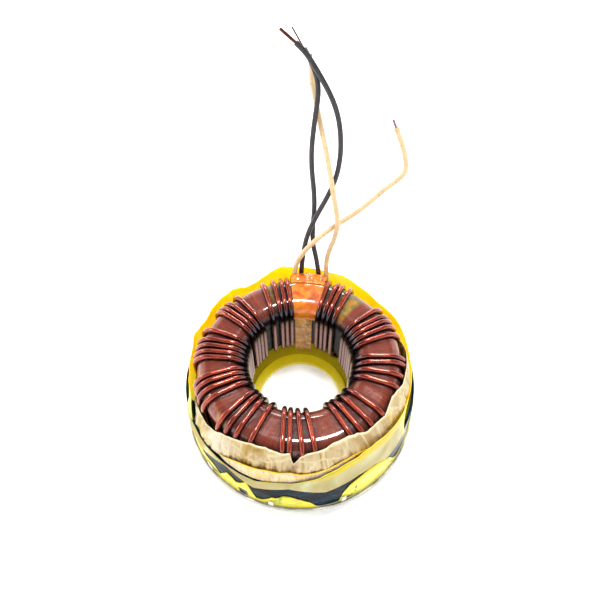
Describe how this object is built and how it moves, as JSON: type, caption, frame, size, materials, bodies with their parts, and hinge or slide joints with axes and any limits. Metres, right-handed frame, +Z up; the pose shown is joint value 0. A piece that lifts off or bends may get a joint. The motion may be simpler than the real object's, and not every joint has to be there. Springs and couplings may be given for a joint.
{
  "type": "toroidal transformer",
  "caption": "Ring-core transformer with a thick enamelled wire winding over a taped fine winding, film collar, shallow base cup and four stiff leads.",
  "frame": {"origin": "middle of the underside of the base disc", "axes": "+Z up along the ring's axis, +Y towards the side where the four leads come out, +X to the right when the leads are at the back"},
  "size_m": [0.0648, 0.0904, 0.0814],
  "materials": {
    "ferrite": "sintered, rounded edges",
    "core_tape": "yellow-green polyester tape",
    "fine_wire": "fine red-brown enamelled wire laid side by side",
    "clear_tape": "clear glossy tape",
    "enamelled_copper": "glossy red-brown enamel over copper",
    "orange_tape": "glossy orange tape",
    "bore_tape": "creased tan tape",
    "joint_sleeve": "sleeved soldered joint",
    "cream_lead": "cream insulation, slightly glossy",
    "black_lead": "black insulation, slightly glossy",
    "bare_tip": "stripped and tinned conductor, tarnished",
    "cream_film": "creased cream polyester film",
    "yellow_film": "bright yellow polyester film",
    "spacer_board": "pressed insulating board",
    "navy_moulding": "glossy dark blue moulding",
    "clear_disc": "clear film disc",
    "white_film": "small white film tabs"
  },
  "bodies": {
    "root": {"ferrite_core": "ferrite", "core_wrap": "core_tape", "inner_winding": "fine_wire", "winding_sleeve": "clear_tape", "outer_winding": "enamelled_copper", "exit_tape": "orange_tape", "bore_tape": "bore_tape", "lead_tape_pad": "orange_tape", "lead_splices": "joint_sleeve", "lead_cream_1": "cream_lead", "lead_cream_2": "cream_lead", "lead_black_1": "black_lead", "lead_black_2": "black_lead", "tip_cream_1": "bare_tip", "tip_cream_2": "bare_tip", "tip_black_1": "bare_tip", "tip_black_2": "bare_tip", "collar_film": "cream_film", "barrier_film": "yellow_film", "spacer_ring": "spacer_board", "base_cup": "navy_moulding", "base_band": "yellow_film", "bore_lip": "yellow_film", "base_disc": "clear_disc", "rim_tabs": "white_film"}
  },
  "joints": []
}
